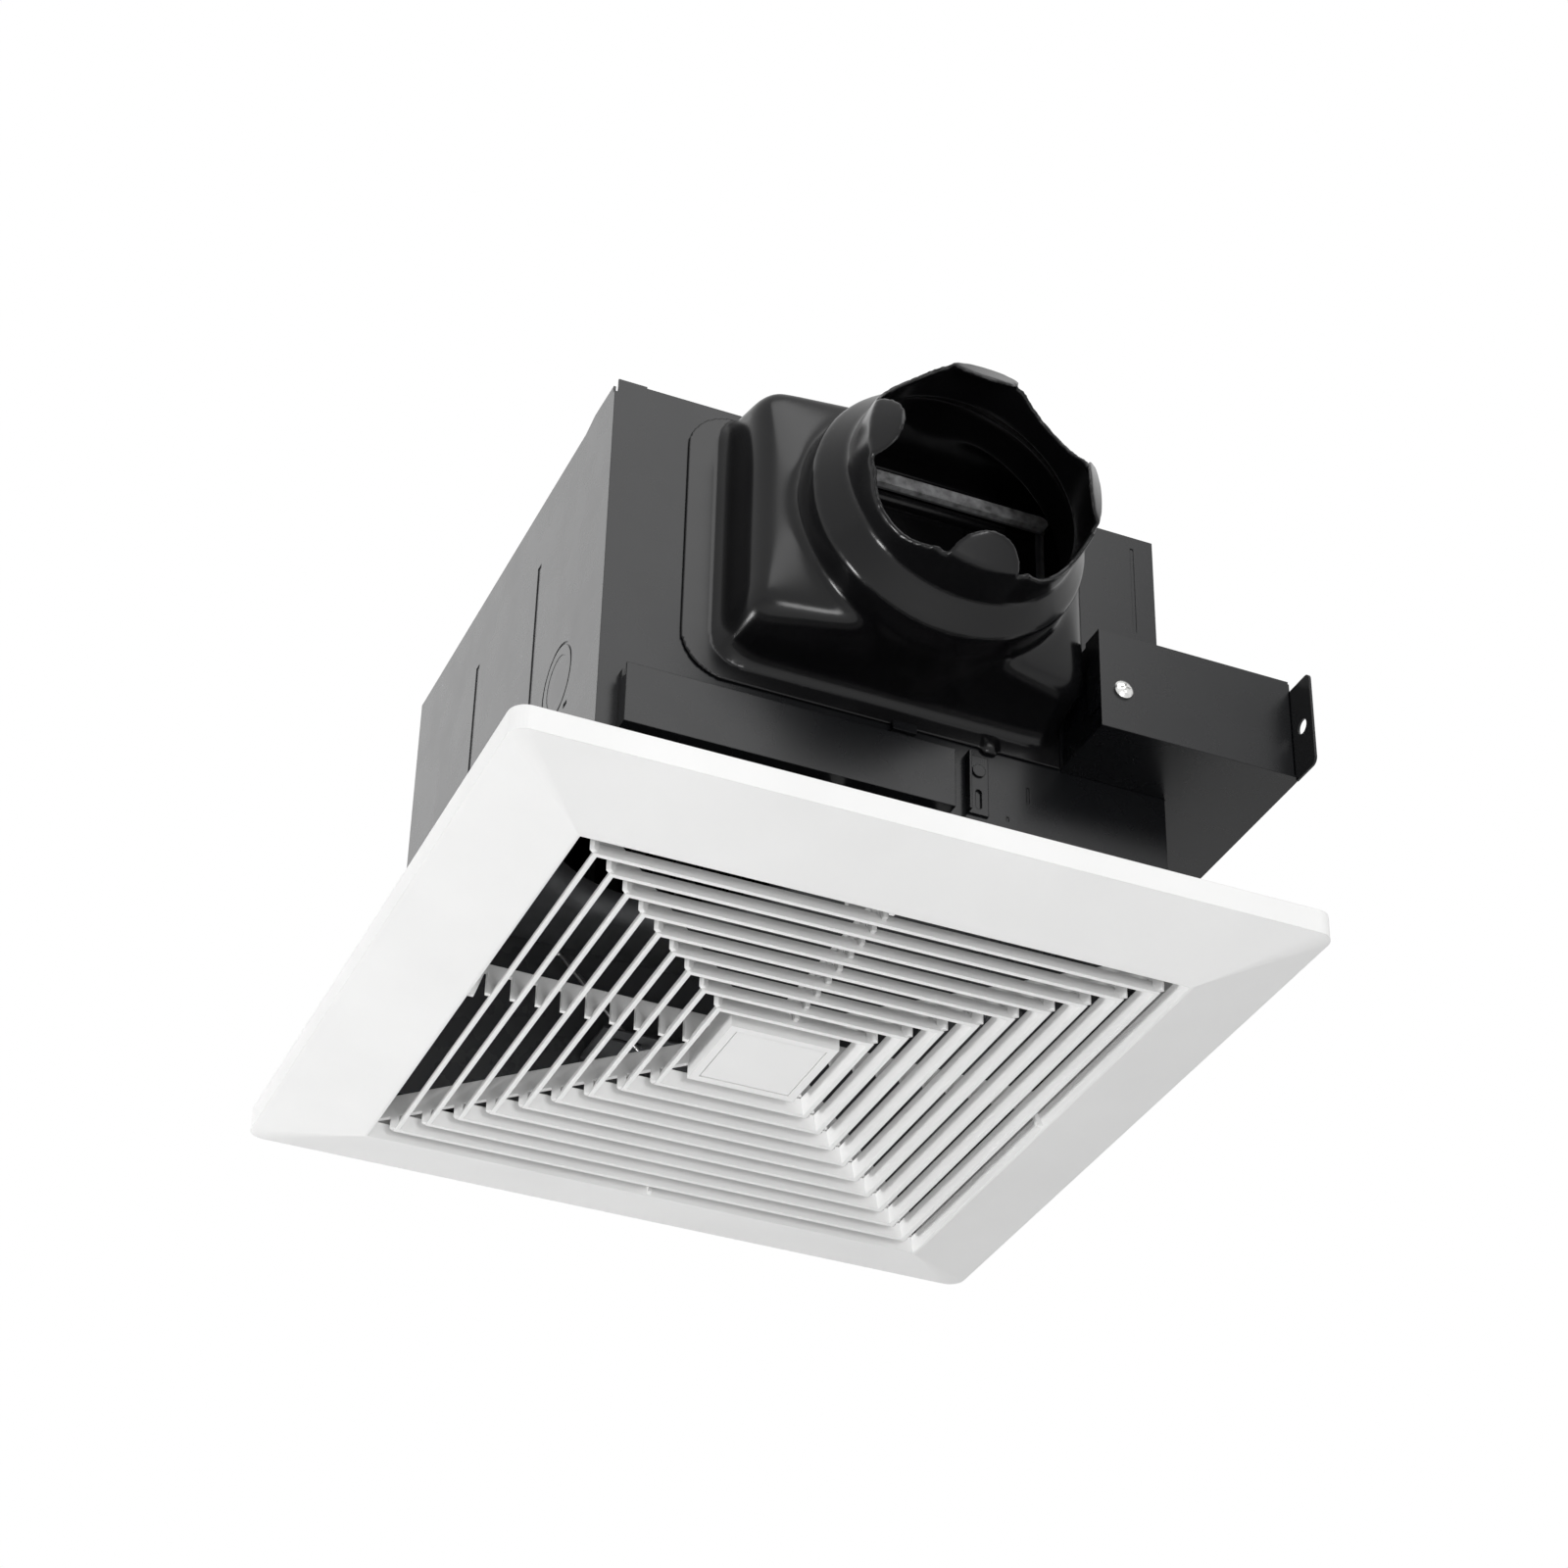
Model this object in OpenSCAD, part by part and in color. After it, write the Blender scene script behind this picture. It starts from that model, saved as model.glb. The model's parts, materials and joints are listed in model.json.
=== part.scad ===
// Ceiling-mounted ventilating fan: square louvred grille on two wire springs, sheet housing,
// centrifugal wheel on a vertical motor, round duct adapter with a gravity damper, wiring box.
// Origin: centre of the opening on the ceiling plane. +Z is up, -Y is the duct side.

/* [Grille] */
// Side of the square panel
panel_w = 330; // [320:1:360]
// Height of the upright lip round the panel
lip_h = 10.3; // [7:0.1:14]
// Plan radius of the panel's corners
panel_r = 7; // [4:0.5:12]
// Drop of the sloping border below the lip
bevel_drop = 10.6; // [8:0.1:14]
// Wall of the grille moulding
panel_wall = 2.2; // [1.6:0.1:2.8]
// Side of the square louvre opening
louvre_w = 248; // [236:1:262]
// Free louvre rings between the border and the centre frame
blade_count = 9; // [7:1:11]
// Flat edge round the louvre opening
edge_t = 1.2; // [0.8:0.1:1.8]
// Height of a louvre blade
blade_h = 6.0; // [5:0.1:8]
// Thickness of a louvre blade in plan
blade_t = 2.1; // [1.4:0.1:2.6]
// Inward lean of a blade for each millimetre of height
blade_lean = 0.4; // [0.2:0.02:0.5]
// Thickness of the ribs that carry the blades
rib_t = 2.0; // [1.4:0.1:3]
// Height from the blades' lower edges to the top of the ribs
rib_h = 16; // [13:0.5:17]
// Height of the middle ribs' teeth above the blades' lower edges
rib_foot = 3; // [2:0.1:4]
// Side of the centre frame
centre_w = 46; // [40:1:52]
// Width of the centre frame's rim
centre_rim = 3.6; // [2.4:0.1:5]
// Thickness of the bare plate in the centre frame
plate_t = 1.5; // [1:0.1:2]

/* [Mounting springs] */
// Wire diameter
wire_d = 2.0; // [1.6:0.1:2.4]
// Mean radius of the coil
coil_r = 5.0; // [4:0.1:6]
// Turns in the middle of the coil
coil_turns = 2; // [2:1:3]
// Space between neighbouring turns
coil_gap = 0.5; // [0.45:0.05:0.8]
// Distance of the spring's lug from the inside of the housing's wall
spring_back = 26.5; // [25:0.5:28]
// Height of the coil's axis above the ceiling plane
coil_z = 8; // [7.5:0.5:12]
// Height of the slotted bracket above the coil's axis
slot_rise = 27; // [26:0.5:28]
// Length of a leg beyond the coil
leg_len = 84; // [82:1:88]
// Half angle between the two legs with the grille closed
leg_angle = 45; // [43:1:46]

/* [Housing] */
// Outer side of the square housing
body_w = 239; // [235:1:248]
// Height of the housing above the ceiling plane
body_h = 195; // [193:1:205]
// Thickness of the sheet
sheet = 1.0; // [0.8:0.1:1.2]
// Width of the fixing flange round the opening
flange_w = 12; // [10:0.5:14]
// Radius of a hole in the fixing flange
flange_hole_r = 2.6; // [2:0.1:3]
// Hole spacing along the two flanges that carry the holes
flange_pitch = 190; // [150:1:205]
// Height of the raised corner upstand above the walls
upstand_h = 4.5; // [2:0.5:8]
// Length of the raised corner upstand
upstand_l = 62; // [40:1:64]

/* [Scroll and wheel] */
// Wheel axis across the housing
wheel_x = -30; // [-31:0.5:-28]
// Wheel axis along the housing
wheel_y = 26; // [24:0.5:27]
// Outer radius of the wheel
wheel_r = 70; // [66:0.5:72]
// Space between the wheel and the scroll's floor and ceiling
wheel_gap = 7; // [6:0.5:9]
// Blades of the wheel
wheel_blades_n = 36; // [24:1:44]
// Radial depth of a wheel blade
wheel_blade_d = 12; // [9:0.5:13]
// Radius of the scroll at its tongue
tongue_r = 77; // [76:0.5:78]
// Height of the scroll's floor above the ceiling plane
scroll_z = 88; // [84:0.5:90]
// Space between the scroll and the top of the housing
scroll_drop = 13; // [12:0.5:14]
// Wall of the scroll
scroll_wall_t = 1.2; // [0.8:0.1:1.6]
// Radius of the motor
motor_r = 40; // [36:0.5:41]
// Height of the motor
motor_h = 44; // [42:0.5:45]
// Radius of the motor shaft
shaft_r = 4; // [3:0.1:5]

/* [Duct adapter] */
// Radius of the round collar that takes the duct
collar_r = 49; // [47:0.5:50]
// Wall of the adapter
adapter_wall = 2; // [1.6:0.1:2.4]
// Place of the collar's axis across the housing
collar_x = 3; // [1:0.5:5]
// Drop of the collar's axis below the top of the housing
collar_drop = 58.7; // [58:0.1:61]
// Reach of the collar's fold line beyond the housing
collar_reach = 81.7; // [80:0.1:90]
// Radius of the step behind the collar
boss_r = 58; // [55:0.5:59]
// Reach of the adapter's hood to the left of the housing's middle
hood_l = 69; // [66:0.5:70]
// Height of the hood's lower edge
hood_low = 83.8; // [82:0.1:86]
// Drop of the hood's upper edge below the top of the housing
hood_drop = 1.2; // [1:0.1:5]
// Depth of the square hood
hood_d = 28; // [27:0.5:29]
// Reach of the adapter's flange to the left of the housing's middle
flange_l = 88; // [80:1:92]
// Width of a tab on the collar's edge
tab_w = 29; // [24:1:31]
// Length of a tab
tab_l = 13; // [9:0.5:14]
// Bend of the side and lower tabs towards the collar's axis
tab_bend = 45; // [35:1:55]
// Bend of the upper tab
tab_bend_top = 58; // [45:1:62]
// Depth of the scallops between the tabs
scallop_d = 9.5; // [7:0.5:11]

/* [Damper] */
// Width of the air outlet of the scroll
outlet_w = 126; // [122:1:130]
// Width of the flap
flap_w = 84; // [76:1:84]
// How much shorter the flap is than the inside of the scroll
flap_drop = 17; // [16:0.5:24]
// Thickness of the flap
flap_t = 1.6; // [1.2:0.1:2]
// Radius of the flap's pin
pin_r = 1.5; // [1.2:0.1:1.8]
// Height of the foam strip over the outlet
foam_h = 5.6; // [4:0.1:6]
// Thickness of the foam strip
foam_t = 3; // [2:0.1:4]

/* [Wiring box] */
// Left side of the wiring box
jbox_x = 73.2; // [70:0.1:76]
// Reach of the wiring box beyond the side of the housing
jbox_over = 41; // [34:0.5:44]
// Height of the wiring box's floor above the ceiling plane
jbox_z = 66.8; // [64:0.1:70]
// Height of the wiring box
jbox_h = 45.7; // [44:0.1:48]
// Reach of the wiring box in front of the housing
jbox_d = 35.5; // [33:0.5:38]
// Length of the wiring box along the side of the housing
jbox_len = 105; // [90:1:120]
// Reach of the joist ear in front of the wiring box
ear_reach = 15; // [13:0.5:17]
// Radius of the hole in the joist ear
ear_hole_r = 3.2; // [2.6:0.1:3.6]
// Radius of a cable knock-out
knock_r = 11.2; // [10:0.1:12]

/* [Rail channel] */
// Left end of the channel for a hanger rail
rail_x = -111; // [-113:0.5:-106]
// Length of the channel
rail_len = 135; // [128:1:138]
// Height of the channel's lower edge
rail_z = 31.8; // [30:0.1:34]
// Height of the channel
rail_h = 26.5; // [24:0.1:28]
// Depth of the channel
rail_d = 8; // [7:0.1:9]

/* [Fasteners and fits] */
// Radius of the screws' shanks
screw_r = 1.9; // [1.5:0.1:2.1]
// Radius of the screws' heads
head_r = 4; // [3.4:0.1:4.2]
// Space between separate pieces that don't touch
gap = 0.3; // [0.2:0.05:0.4]
// Radial clearance of running fits
run_gap = 0.05; // [0.02:0.01:0.08]

/* [Hidden] */
$fn = 64;

face = body_w / 2;
inside = face - sheet;
eps = 0.01;

// Grille
half = louvre_w / 2;
grille_z = -lip_h - bevel_drop;
pitch = (half - centre_w / 2 + blade_t) / (blade_count + 1);
ring_w = [for (i = [0:blade_count]) half - i * pitch];
rib_tooth = 0.8;
tooth_base = 3.5;
tooth_top = 8;
mitre_foot = 1;
mitre_low = 6.5;
rib_bar = 3.5;
upstand_t = 1.2;
upstand_top = -1.5;
rib_top = grille_z + rib_h;

spring_y = inside - spring_back;

// Springs: the lug, the first leg's ring, the coil and the second leg's ring follow one another on a peg
wire_r = wire_d / 2;
turn_step = wire_d + coil_gap;
lug_t = 4;
peg_r = coil_r - wire_r - run_gap;
coil_mid_r = (coil_r - wire_r) / cos(22.5) + wire_r;
ring_a_y = spring_y + lug_t + coil_gap + wire_r;
coil_y = ring_a_y + turn_step;
ring_b_y = coil_y + (coil_turns + 1) * turn_step;
peg_end = ring_b_y + wire_r + coil_gap;
slot_z = coil_z + slot_rise;
slot_in = 16;
slot_out = 29;
bracket_w = 72;
hook_l = 4;
hook_r = 2;

// Scroll
scroll_h = body_h - scroll_z - scroll_drop;
wheel_h = scroll_h - 2 * wheel_gap;
outlet_r_x = collar_x + outlet_w / 2;
outlet_l_x = collar_x - outlet_w / 2;
tongue_a = 180 + acos((wheel_x - outlet_l_x) / tongue_r);
tongue_y = wheel_y + tongue_r * sin(tongue_a);
scroll_end_r = outlet_r_x - scroll_wall_t - wheel_x;
growth = (scroll_end_r - tongue_r) / tongue_a;
scroll_top = scroll_z + scroll_h;
mouth_y = -face - 5.5;
motor_plate_top = scroll_top + scroll_wall_t;
wheel_z = scroll_z + wheel_gap;
wheel_top = wheel_z + wheel_h;
cup_floor = scroll_top - motor_h - 10;
hub_r = 9;
bearing_h = 7;
bearing_r = 11;
rotor_r = motor_r * 0.6;
throat_r = wheel_r - wheel_blade_d - 3;
bell_r = 10;

// Adapter
collar_z = body_h - collar_drop;
hood_top = body_h - hood_drop;
tab_t = 1.6;
notch_r = 2;
scallop_r = 28;
tab_step = 0.35;
tab_half = asin(tab_w / 2 / collar_r);
hood_y = -face - hood_d;
fold_y = -face - collar_reach;
ring_y = fold_y + 23;
shoulder_y = fold_y + 32;
blend_y = hood_y - 6.2;
tab_angles = [2, 90, 176, 268];
adapter_plate_t = 1.2;
adapter_low = 67;
adapter_high = body_h;
adapter_right = jbox_x - gap;
catch_x = 5;
catch_z = 64;
foot_r = 10;
flange_r = 20;

// Damper
flap_h = scroll_h - flap_drop;
frame_t = 2.5;
frame_y = mouth_y + 5;
barrel_r = pin_r + 1.3;
pin_y = frame_y - gap - barrel_r;
pin_z = scroll_top - 7.5;
port_w = flap_w - 6;
port_top = pin_z - 7;
port_low = pin_z - flap_h + 4;
ear_t = 3;

// Wiring box
jbox_r_x = face + jbox_over;
jbox_y = -face - jbox_d;
jbox_top = jbox_z + jbox_h;
cover_x = jbox_x + 9.8;
cover_z = jbox_z + 19;
lip_low = jbox_z + 11;
knock_z = jbox_z + jbox_h / 2;
bush_r = 7;
block_x = jbox_x + 8;
block_w = 34;
block_h = 14;
block_d = 16;
ear_z = jbox_z - 2;
ear_h = 43;

// Left wall
knock_y = -face + 48.5;
knock_wall_z = 83;
groove_ys = [-39, 37];
groove_top = body_h - 33;
groove_low = 24;

// Fasteners
head_h = 2.4;
screw_l = 6;
corner_lug = 14;
lug_zs = [scroll_z, scroll_top - sheet, body_h - 3 * sheet - gap];
hook_xs = [-58, 58];
hook_z = body_h - 7;
rail_screw_xs = [rail_x + 20, rail_x + rail_len - 20];
rail_screw_z = rail_z + 6.6;
strap_x = 37.2;
strap_z = 56;

// Electrical parts
bush_y = -face + 29.5;
bush_z = jbox_top - 13.5;
box_wall_x = jbox_x + sheet + gap;
ground_x = jbox_x + 60;
cap_x = inside - 22;
cap_y = 70;
cap_z = 118;
cap_r = 15;
cap_l = 52;

// Lays the local Z axis along -Y
module facing_front(x, y, z) {
    translate([x, y, z]) rotate([90, 0, 0]) children();
}

// Lays the local Z axis along +Y
module facing_back(x, y, z) {
    translate([x, y, z]) rotate([-90, 0, 0]) children();
}

// Lays the local Z axis along +X
module facing_right(x, y, z) {
    translate([x, y, z]) rotate([0, 90, 0]) children();
}

// Square with rounded corners, built from exact arcs
module round_rect(w, h, r) {
    square([w - 2 * r, h], center = true);
    square([w, h - 2 * r], center = true);
    for (sx = [-1, 1], sy = [-1, 1]) translate([sx * (w / 2 - r), sy * (h / 2 - r)]) circle(r = r);
}

// Slot with round ends, along X
module slot(l, r) {
    square([l - 2 * r, 2 * r], center = true);
    for (s = [-1, 1]) translate([s * (l / 2 - r), 0]) circle(r = r);
}

// Dome-headed screw with a cross recess, head up, its shank below z = 0
module dome_screw(l = screw_l) {
    difference() {
        union() {
            intersection() {
                translate([0, 0, head_h - head_r * 1.5]) sphere(r = head_r * 1.5);
                cylinder(r = head_r, h = head_h);
            }
            translate([0, 0, -l]) cylinder(r = screw_r, h = l + eps);
        }
        for (a = [0, 90]) rotate([0, 0, a]) translate([-head_r * 0.55, -0.5, head_h - 1.3])
            cube([head_r * 1.1, 1, 2]);
    }
}

// Places its child at both corners of a rectangle's diagonals
module at_corners(x, y) {
    for (sx = [-1, 1], sy = [-1, 1]) translate([sx * x, sy * y, 0]) children();
}

// Thickness of the blade whose inner lower edge is at w; the first one edges the border
function ring_t(w) = w == half ? edge_t : blade_t;

// One side of the louvre: every blade's section drawn out and cut to the 45 degree mitres
module louvre_side() {
    reach = half + edge_t + 1;
    intersection() {
        rotate([90, 0, 0]) linear_extrude(2 * reach, center = true)
            for (w = ring_w) translate([w, grille_z])
                polygon([
                    [0, 0], [ring_t(w), 0], [ring_t(w) - blade_lean * blade_h, blade_h],
                    [-blade_lean * blade_h, blade_h]
                ]);
        translate([0, 0, grille_z - 1]) linear_extrude(blade_h + 2)
            polygon([[0, 0], [reach, -reach], [reach, reach]]);
    }
}

// Rib from the centre frame out to the border: a bar with a tapered tooth down to each blade
module comb_rib() {
    start = centre_w / 2 - 1;
    finish = half + edge_t * 0.6;
    rotate([90, 0, 0]) linear_extrude(rib_t, center = true) {
        translate([start, rib_top - rib_bar]) square([finish - start, rib_bar]);
        for (w = ring_w) {
            low = grille_z + (w == half ? mitre_foot : rib_foot);
            high = min(finish, w + ring_t(w) + rib_tooth);
            polygon([
                [high, low], [high, rib_top - 1], [high - tooth_top, rib_top - 1], [high - tooth_base, low]
            ]);
        }
    }
}

// Deep rib along a mitre, with a short tooth down to each corner of the blades
module mitre_rib() {
    start = (centre_w / 2 - 1) * sqrt(2);
    finish = (half + edge_t * 0.6) * sqrt(2);
    rotate([90, 0, 0]) linear_extrude(rib_t, center = true) {
        translate([start, grille_z + mitre_low]) square([finish - start, rib_h - mitre_low]);
        for (w = ring_w) {
            low = w * sqrt(2);
            high = min(finish, (w + ring_t(w) + rib_tooth) * sqrt(2));
            translate([low, grille_z + mitre_foot]) square([high - low, mitre_low - mitre_foot + 1]);
        }
    }
}

// Border of the panel, an open pan with a sloping face and an upstand round the louvre opening
module border() {
    difference() {
        translate([0, 0, grille_z + 0.3]) linear_extrude(upstand_top - grille_z - 0.3)
            square(louvre_w + 2 * edge_t + 2 * upstand_t, center = true);
        translate([0, 0, grille_z - 1]) linear_extrude(lip_h + bevel_drop + 2)
            square(louvre_w + edge_t, center = true);
    }
    difference() {
        hull() {
            translate([0, 0, -lip_h]) linear_extrude(lip_h) round_rect(panel_w, panel_w, panel_r, $fn = 32);
            translate([0, 0, grille_z]) linear_extrude(0.4) square(louvre_w + 2 * edge_t, center = true);
        }
        hull() {
            translate([0, 0, -lip_h + panel_wall * 0.6]) linear_extrude(lip_h)
                round_rect(panel_w - 2 * panel_wall, panel_w - 2 * panel_wall, panel_r - panel_wall, $fn = 32);
            translate([0, 0, grille_z + panel_wall]) linear_extrude(0.4)
                square(louvre_w + 2 * edge_t, center = true);
        }
        translate([0, 0, grille_z - 1]) linear_extrude(lip_h + bevel_drop + 2)
            square(louvre_w + edge_t, center = true);
    }
}

// Frame that holds the bare centre plate
module centre_frame() {
    z = grille_z;
    difference() {
        translate([-centre_w / 2, -centre_w / 2, z]) cube([centre_w, centre_w, rib_h - 1]);
        translate([-centre_w / 2 + centre_rim, -centre_w / 2 + centre_rim, z - 1])
            cube([centre_w - 2 * centre_rim, centre_w - 2 * centre_rim, 1 + gap + plate_t]);
        translate([-centre_w / 2 + 2, -centre_w / 2 + 2, z + gap + plate_t + panel_wall])
            cube([centre_w - 4, centre_w - 4, rib_h]);
    }
}

module grille_panel() {
    color("whitesmoke") {
        border();
        for (a = [0:90:270]) rotate([0, 0, a]) {
            louvre_side();
            comb_rib();
            rotate([0, 0, 45]) mitre_rib();
        }
        centre_frame();
    }
}

module centre_plate() {
    w = centre_w - 2 * centre_rim - 2 * gap;
    color("gainsboro") translate([-w / 2, -w / 2, grille_z + gap]) cube([w, w, plate_t]);
}

// Upright lug on the middle rib with the peg that carries the coil
module spring_lug() {
    foot = rib_top;
    translate([-coil_r - 1, spring_y, foot]) cube([2 * coil_r + 2, lug_t, coil_z - foot]);
    facing_back(0, spring_y, coil_z) cylinder(r = coil_r + 1, h = lug_t);
    facing_back(0, spring_y + lug_t - eps, coil_z) cylinder(r = peg_r, h = peg_end - spring_y - lug_t + eps);
}

module spring_lugs() {
    color("whitesmoke") for (a = [0, 180]) rotate([0, 0, a]) spring_lug();
}

// Points of a tube's rings along a helix whose axis is Y
function helix_ring(t) =
    let (a = 360 * t, slope = atan2(turn_step, 2 * PI * coil_mid_r))
    [for (k = [0:5])
        let (b = 60 * k, u = wire_r * cos(b), v = wire_r * sin(b))
        [
            (coil_mid_r + u) * cos(a) + v * sin(slope) * sin(a),
            coil_y + t * turn_step + v * cos(slope),
            (coil_mid_r + u) * sin(a) - v * sin(slope) * cos(a)
        ]];

coil_steps = 8 * coil_turns;
coil_points = [for (i = [0:coil_steps]) each helix_ring(i / 8)];
coil_faces = concat(
    [[for (k = [0:5]) k]],
    [for (i = [0:coil_steps - 1], k = [0:5]) each [
        [6 * i + k, 6 * (i + 1) + k, 6 * i + (k + 1) % 6],
        [6 * i + (k + 1) % 6, 6 * (i + 1) + k, 6 * (i + 1) + (k + 1) % 6]
    ]],
    [[for (k = [5:-1:0]) 6 * coil_steps + k]]
);

// Least space between one turn and the next, taken between all points that lie a turn or more apart
turn_space = min([for (i = [0:6 * (coil_steps - 8) + 5], j = [i + 42:len(coil_points) - 1])
    norm(coil_points[i] - coil_points[j])]);
echo(least_gap_between_turns = turn_space);

module spring_coils() {
    color("silver") for (a = [0, 180]) rotate([0, 0, a])
        translate([0, 0, coil_z]) polyhedron(points = coil_points, faces = coil_faces);
}

module spring_retainers() {
    color("dimgray") for (a = [0, 180]) rotate([0, 0, a])
        facing_back(0, peg_end, coil_z) cylinder(r = coil_r + wire_r, h = 1.5);
}

// A leg with the end turn that goes round the peg; side is -1 or 1, y is the leg's plane
module spring_leg(side, y) {
    color("silver") translate([0, y, coil_z]) rotate([90, 0, 0]) {
        mirror([side > 0 ? 0 : 1, 0, 0]) rotate([0, 0, -leg_angle]) {
            rotate([0, 0, 180]) rotate_extrude(angle = 300) translate([coil_r, 0]) circle(r = wire_r);
            translate([-coil_r, 0, 0]) rotate([-90, 0, 0]) cylinder(r = wire_r, h = leg_len - hook_r);
            translate([hook_r - coil_r, leg_len - hook_r, 0]) {
                rotate([0, 0, 90]) rotate_extrude(angle = 90) translate([hook_r, 0]) circle(r = wire_r);
                translate([0, hook_r, 0]) rotate([0, 90, 0]) cylinder(r = wire_r, h = hook_l);
            }
        }
    }
}

module spring_leg_back_left() {
    spring_leg(-1, ring_a_y);
}

module spring_leg_back_right() {
    spring_leg(1, ring_b_y);
}

module spring_leg_front_left() {
    spring_leg(-1, -ring_b_y);
}

module spring_leg_front_right() {
    spring_leg(1, -ring_a_y);
}

// Slotted bracket on the wall that the two legs pass through
module spring_bracket() {
    low = spring_y - 2;
    difference() {
        union() {
            translate([-bracket_w / 2, low, slot_z - sheet / 2]) cube([bracket_w, inside - low, sheet]);
            translate([-bracket_w / 2, inside - sheet, slot_z - 13]) cube([bracket_w, sheet, 13]);
        }
        for (side = [-1, 1]) translate([side * (slot_in + slot_out) / 2, side < 0 ? ring_a_y : ring_b_y, slot_z])
            linear_extrude(4, center = true) slot(slot_out - slot_in, wire_r + gap);
        for (x = [-22, 22]) facing_back(x, inside - 3, slot_z - 7) cylinder(r = screw_r + run_gap, h = 6);
    }
}

module spring_brackets() {
    color("slategray") for (a = [0, 180]) rotate([0, 0, a]) spring_bracket();
}

module bracket_rivets() {
    color("silver") for (a = [0, 180], x = [-22, 22]) rotate([0, 0, a]) {
        facing_front(x, inside - sheet, slot_z - 7) cylinder(r = screw_r + 1.2, h = 1);
        facing_back(x, inside - sheet, slot_z - 7) cylinder(r = screw_r, h = 2 * sheet);
        facing_back(x, face, slot_z - 7) cylinder(r = screw_r + 1.2, h = 0.8);
    }
}

// Flange strip round the housing's lower edge, on two opposite sides
module shell_flanges() {
    difference() {
        translate([-face - flange_w, -face - flange_w, -sheet])
            cube([body_w + 2 * flange_w, body_w + 2 * flange_w, sheet]);
        translate([-inside, -inside, -sheet - 1]) cube([2 * inside, 2 * inside, sheet + 2]);
        at_corners(face + flange_w / 2, flange_pitch / 2)
            translate([0, 0, -sheet - 1]) cylinder(r = flange_hole_r, h = sheet + 2);
    }
}

// Ring-shaped groove pressed round a knock-out, cut from the sheet's outer side
module knock_groove(r) {
    difference() {
        cylinder(r = r, h = 1);
        translate([0, 0, -1]) cylinder(r = r - 1.2, h = 3);
    }
}

module shell_lugs() {
    for (z = lug_zs, sx = [-1, 1], sy = [-1, 1])
        translate([sx > 0 ? inside - corner_lug : -inside - eps, sy > 0 ? inside - corner_lug : -inside - eps, z])
            cube([corner_lug + eps, corner_lug + eps, sheet]);
}

module housing_shell() {
    color("dimgray") difference() {
        union() {
            difference() {
                translate([-face, -face, -sheet]) cube([body_w, body_w, body_h + sheet]);
                translate([-inside, -inside, -sheet - 1]) cube([2 * inside, 2 * inside, body_h + 10]);
            }
            shell_flanges();
            shell_lugs();
            facing_right(-face, 0, body_h) rotate([0, 0, 90]) linear_extrude(sheet)
                polygon([
                    [-face + 1.5, -eps], [-face + 1.5 + upstand_l / 2, -eps],
                    [-face + 1.5 + upstand_l / 3, upstand_h / 2], [-face + 1.5, upstand_h / 3]
                ]);
            translate([-face + 1.5, -face, body_h - eps]) cube([12, sheet, upstand_h]);
            translate([-face + 13, -face, body_h - eps]) cube([upstand_l, sheet, upstand_h - 0.8]);
        }
        // Notch where the two upstands meet
        translate([-face - 1, -face - 1, body_h - 2]) cube([2.5, 2.5, upstand_h + 3]);
        // Outlet
        translate([outlet_l_x - gap, -face - 1, scroll_z - scroll_wall_t - gap])
            cube([outlet_w + 2 * gap, sheet + 2, scroll_h + 2 * scroll_wall_t + 2 * gap]);
        // Knock-out and tool slot in the left wall
        translate([-face - 1, knock_y, knock_wall_z]) rotate([0, 90, 0]) cylinder(r = knock_r, h = sheet + 2);
        translate([-face - 1, knock_y - 14, knock_wall_z - 19]) cube([sheet + 2, 4, 2]);
        // Pressed grooves of the left wall
        for (y = groove_ys) translate([-face - 0.6, y - 2, groove_low]) cube([1, 4, groove_top - groove_low]);
        translate([-face - 0.6, knock_y, knock_wall_z]) rotate([0, 90, 0]) knock_groove(16.5);
        // Pressed groove and lance marks of the front wall
        translate([face - 10.5, -face - 0.6, body_h - 49]) cube([1.6, 1, 43]);
        translate([58.4, -face - 0.6, 48]) cube([1.2, 1, 7]);
        translate([49.5, -face - 0.6, 37]) cube([1, 1, 2]);
        // Wiring
        translate([inside - 1, bush_y, bush_z]) rotate([0, 90, 0]) cylinder(r = bush_r, h = sheet + 2);
        translate([inside - 1, bush_y + 14, bush_z]) rotate([0, 90, 0])
            cylinder(r = screw_r + run_gap, h = sheet + 2);
        translate([inside - 1, bush_y + 14, jbox_z + 10]) rotate([0, 90, 0])
            cylinder(r = screw_r + run_gap, h = sheet + 2);
        // Screws of the inlet ring, the motor plate and the lid
        for (z = lug_zs) at_corners(inside - 8, inside - 8)
            translate([0, 0, z - 1]) cylinder(r = screw_r + run_gap, h = sheet + 2);
        // Rivets of the brackets, screws of the adapter and of the rail channel
        for (sy = [-1, 1], x = [-22, 22]) translate([x, sy * face + 2, slot_z - 7]) rotate([90, 0, 0])
            cylinder(r = screw_r + run_gap, h = 4);
        for (x = hook_xs) translate([x - 6.5, -face - 1, hook_z - 0.5]) cube([13, sheet + 2, 2.8]);
        facing_front(catch_x, -inside + 1, catch_z - 3.6) cylinder(r = screw_r + run_gap, h = sheet + 2);
        for (x = rail_screw_xs) facing_front(x, -inside + 1, rail_screw_z)
            cylinder(r = screw_r + run_gap, h = sheet + 2);
        facing_front(strap_x, -inside + 1, strap_z) cylinder(r = screw_r + run_gap, h = sheet + 2);
    }
}

// Half disc in the wiring box's left wall, against the box's back
module half_disc(r, t) {
    intersection() {
        translate([0, -face, knock_z]) rotate([0, 90, 0]) cylinder(r = r, h = t);
        translate([-1, -face - 40, knock_z - 40]) cube([t + 2, 40 - sheet - (knock_r - r), 80]);
    }
}

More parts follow.
